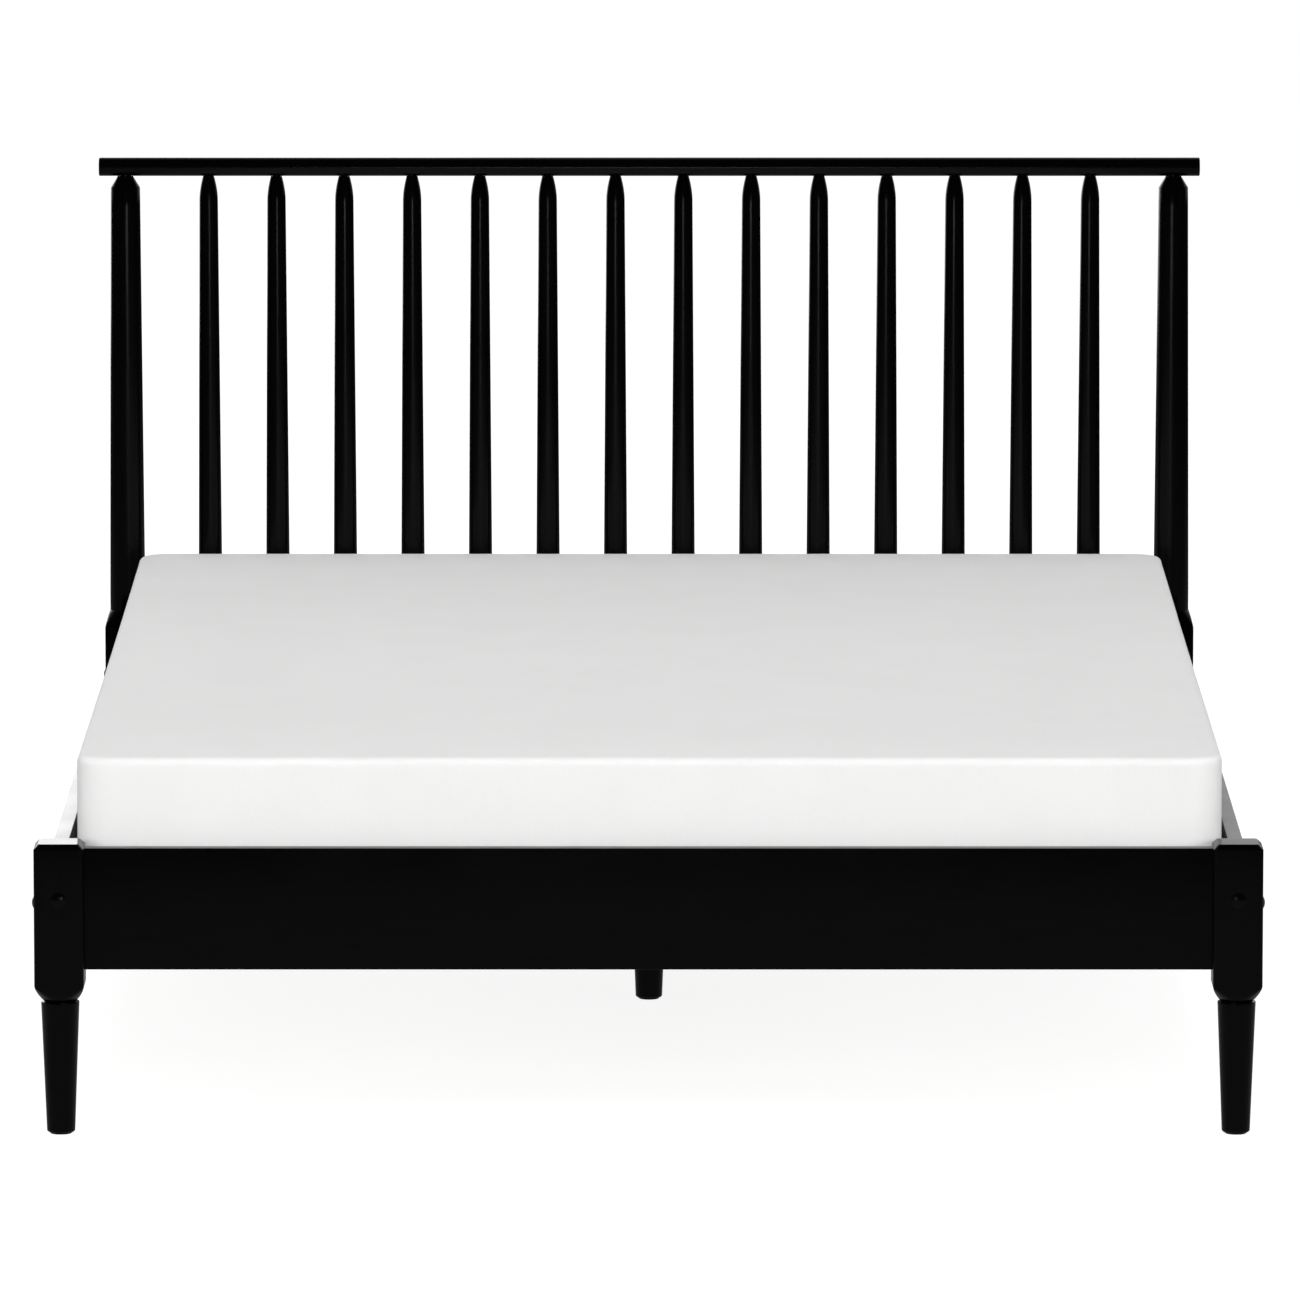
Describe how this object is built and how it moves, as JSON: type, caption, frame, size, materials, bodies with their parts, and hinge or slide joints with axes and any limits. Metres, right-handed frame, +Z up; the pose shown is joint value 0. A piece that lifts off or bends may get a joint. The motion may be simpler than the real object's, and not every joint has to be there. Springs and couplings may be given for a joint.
{
  "type": "double bed",
  "caption": "Low black wooden bed frame with turned legs and a spindle headboard, carrying a plain white mattress on a slatted base.",
  "frame": {"origin": "on the floor, under the middle of the bed's outer box", "axes": "+X to the right seen from the foot end, +Y from the foot end to the headboard, +Z up"},
  "size_m": [1.642, 2.1744, 1.09],
  "materials": {
    "black_paint": "satin",
    "pine": "matte",
    "zinc_steel": "satin",
    "black_plastic": "satin",
    "white_knit": "matte",
    "foam": "matte"
  },
  "bodies": {
    "bed_frame": {"headboard_top_rail": "black_paint", "head_post_left": "black_paint", "head_post_right": "black_paint", "headboard_lower_rail": "black_paint", "spindle_01": "black_paint", "spindle_02": "black_paint", "spindle_03": "black_paint", "spindle_04": "black_paint", "spindle_05": "black_paint", "spindle_06": "black_paint", "spindle_07": "black_paint", "spindle_08": "black_paint", "spindle_09": "black_paint", "spindle_10": "black_paint", "spindle_11": "black_paint", "spindle_12": "black_paint", "spindle_13": "black_paint", "spindle_14": "black_paint", "foot_post_left": "black_paint", "foot_post_right": "black_paint", "footboard_rail": "black_paint", "side_rail_left": "black_paint", "side_rail_right": "black_paint", "centre_leg": "black_paint", "ledger_left": "pine", "ledger_right": "pine", "centre_beam": "pine", "slat_01": "pine", "slat_02": "pine", "slat_03": "pine", "slat_04": "pine", "slat_05": "pine", "slat_06": "pine", "slat_07": "pine", "slat_08": "pine", "slat_09": "pine", "slat_10": "pine", "slat_11": "pine", "slat_12": "pine", "slat_13": "pine", "slat_14": "pine", "rail_dowels": "pine", "beam_hanger_foot": "zinc_steel", "beam_hanger_head": "zinc_steel", "centre_leg_bolt": "zinc_steel", "centre_leg_insert": "zinc_steel", "side_rail_bolts": "zinc_steel", "side_rail_nuts": "zinc_steel", "end_rail_bolts": "zinc_steel", "end_rail_nuts": "zinc_steel", "bolt_washers": "zinc_steel", "ledger_screws": "zinc_steel", "slat_screws": "zinc_steel", "hanger_screws": "zinc_steel", "bolt_caps": "black_plastic", "floor_glides": "black_plastic"},
    "mattress": {"mattress_cover": "white_knit", "mattress_core": "foam"}
  },
  "joints": [
    {"name": "mattress_lift", "type": "slide", "parent": "bed_frame", "child": "mattress", "axis": [0, 0, 1], "range_m": [0, 0.8]}
  ]
}
